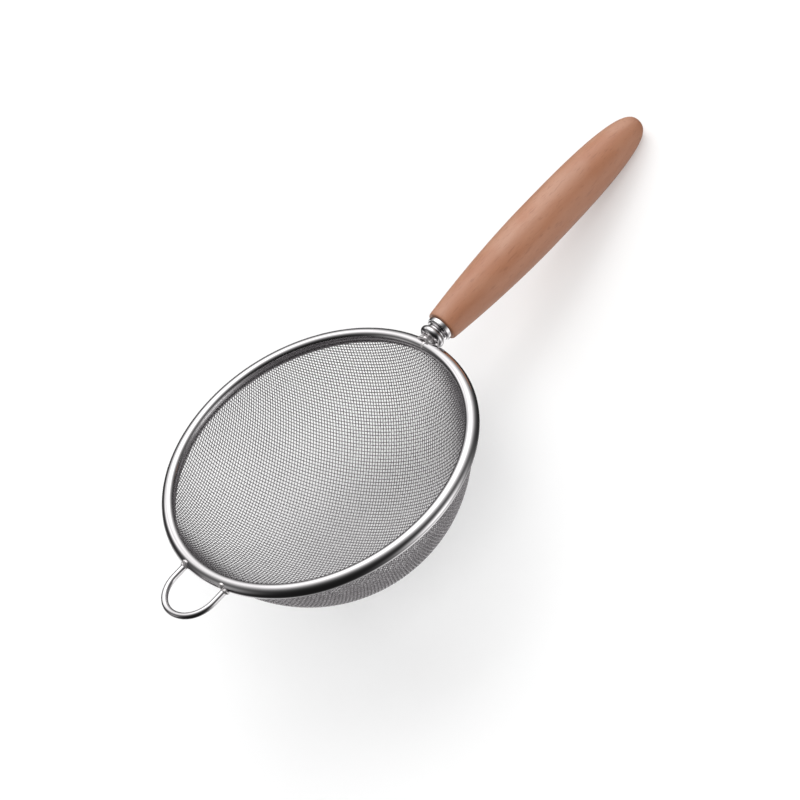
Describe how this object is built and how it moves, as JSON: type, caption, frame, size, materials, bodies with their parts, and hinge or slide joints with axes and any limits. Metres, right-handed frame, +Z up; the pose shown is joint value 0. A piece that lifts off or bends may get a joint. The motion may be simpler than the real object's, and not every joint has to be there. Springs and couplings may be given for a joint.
{
  "type": "tea strainer",
  "caption": "Round tea strainer with a deep woven wire bowl, a rolled steel rim with a hanging loop, and a turned beech handle on a beaded steel neck.",
  "frame": {"origin": "the point on the table that the underside of the bowl rests on", "axes": "+Z up from the table, +X from the bowl towards the handle, +Y to the left of someone who looks along +X. The strainer lies as it rests on a table, on its bowl and its handle, so the rim slopes down towards the handle by 14.87 degrees"},
  "size_m": [0.2065, 0.1, 0.0577],
  "materials": {
    "wire_cloth": "plain-woven stainless wire, satin",
    "polished_steel": "polished stainless steel",
    "drawn_wire": "plain drawn steel",
    "weld_steel": "as welded, lightly polished",
    "beech": "turned beech, sanded, thin clear finish"
  },
  "bodies": {
    "root": {"mesh_bowl": "wire_cloth", "rim_band": "polished_steel", "rim_core_wire": "drawn_wire", "rim_seam": "weld_steel", "hanging_loop": "polished_steel", "loop_welds": "weld_steel", "neck_rod": "drawn_wire", "neck_weld": "weld_steel", "neck_bead": "polished_steel", "end_collar": "polished_steel", "handle": "beech"}
  },
  "joints": []
}
